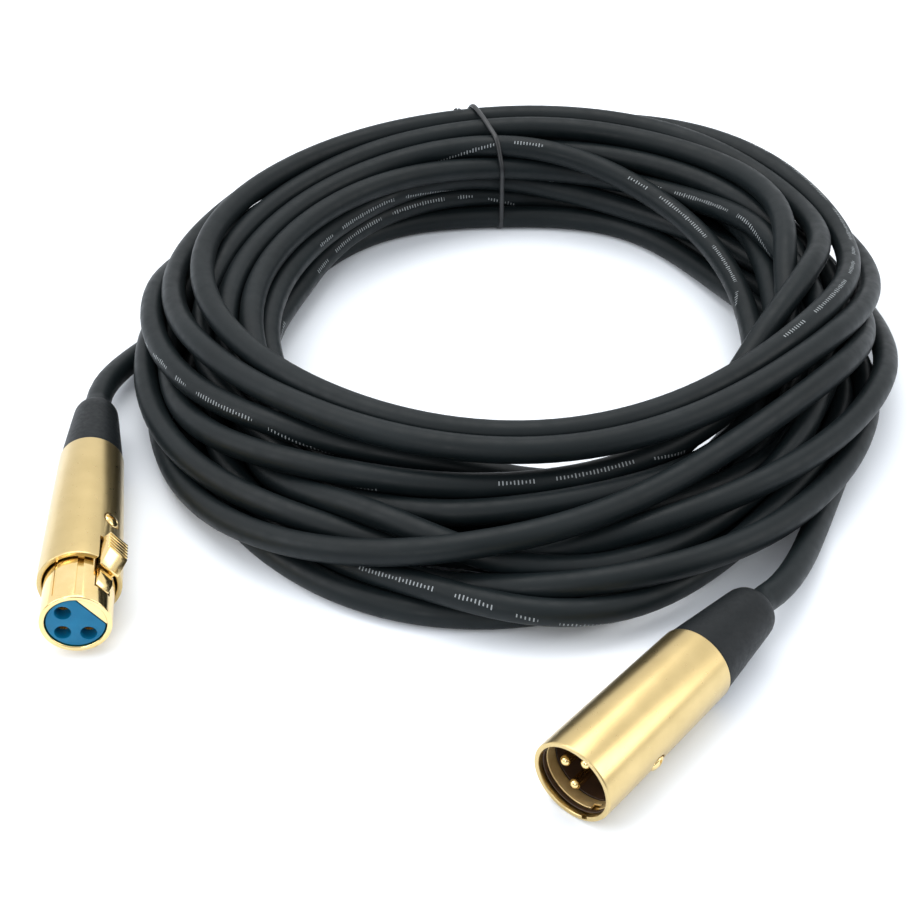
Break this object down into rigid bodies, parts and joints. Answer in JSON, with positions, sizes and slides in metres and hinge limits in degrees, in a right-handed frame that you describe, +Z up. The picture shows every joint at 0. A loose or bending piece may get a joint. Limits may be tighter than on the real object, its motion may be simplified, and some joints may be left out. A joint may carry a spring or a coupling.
{
  "type": "xlr cable coil",
  "caption": "Coiled microphone cable with a latching female plug at one end and a pin plug at the other, held by a twist tie.",
  "frame": {"origin": "bottom centre of the whole object's box", "axes": "+Z up from the surface it lies on, -Y towards the plugs' mating ends"},
  "size_m": [0.2164, 0.2684, 0.0301],
  "materials": {
    "jacket": "satin flexible jacket",
    "boot_rubber": "matt moulded rubber",
    "satin_gold": "bead-blasted gold plating",
    "bright_gold": "polished gold plating",
    "contact_gold": "gold plating",
    "blue_plastic": "moulded, semi-gloss",
    "dark_plastic": "moulded, dark brown",
    "clamp": "moulded, grey",
    "steel": "plain",
    "tie": "plastic-covered wire",
    "wire_1": "insulated wire",
    "wire_2": "insulated wire",
    "wire_3": "insulated wire"
  },
  "bodies": {
    "cable": {"cable_coil": "jacket", "twist_tie": "tie", "female_shell": "satin_gold", "female_barrel": "bright_gold", "female_insulator": "blue_plastic", "female_contact_1": "contact_gold", "female_contact_2": "contact_gold", "female_contact_3": "contact_gold", "latch_pivot": "steel", "latch_spring": "steel", "female_screw": "bright_gold", "female_clamp": "clamp", "female_boot": "boot_rubber", "female_cord_end": "jacket", "female_wire_1": "wire_1", "female_wire_2": "wire_2", "female_wire_3": "wire_3", "cable_lead_female": "jacket", "male_shell": "satin_gold", "male_collar": "dark_plastic", "male_ring": "bright_gold", "male_insulator": "dark_plastic", "male_pin_1": "bright_gold", "male_pin_2": "bright_gold", "male_pin_3": "bright_gold", "male_screw": "bright_gold", "male_clamp": "clamp", "male_boot": "boot_rubber", "male_cord_end": "jacket", "male_wire_1": "wire_1", "male_wire_2": "wire_2", "male_wire_3": "wire_3", "cable_lead_male": "jacket"},
    "latch": {"latch_lever": "bright_gold"}
  },
  "joints": [
    {"name": "latch_press", "type": "hinge", "parent": "cable", "child": "latch", "pos_m": [-0.09266, -0.05825, 0.01281], "axis": [0.6145, 0.0426, -0.7878], "range_deg": [0, 5], "stiffness_Nm_per_rad": 0.3, "deforming": ["latch_spring"]}
  ]
}
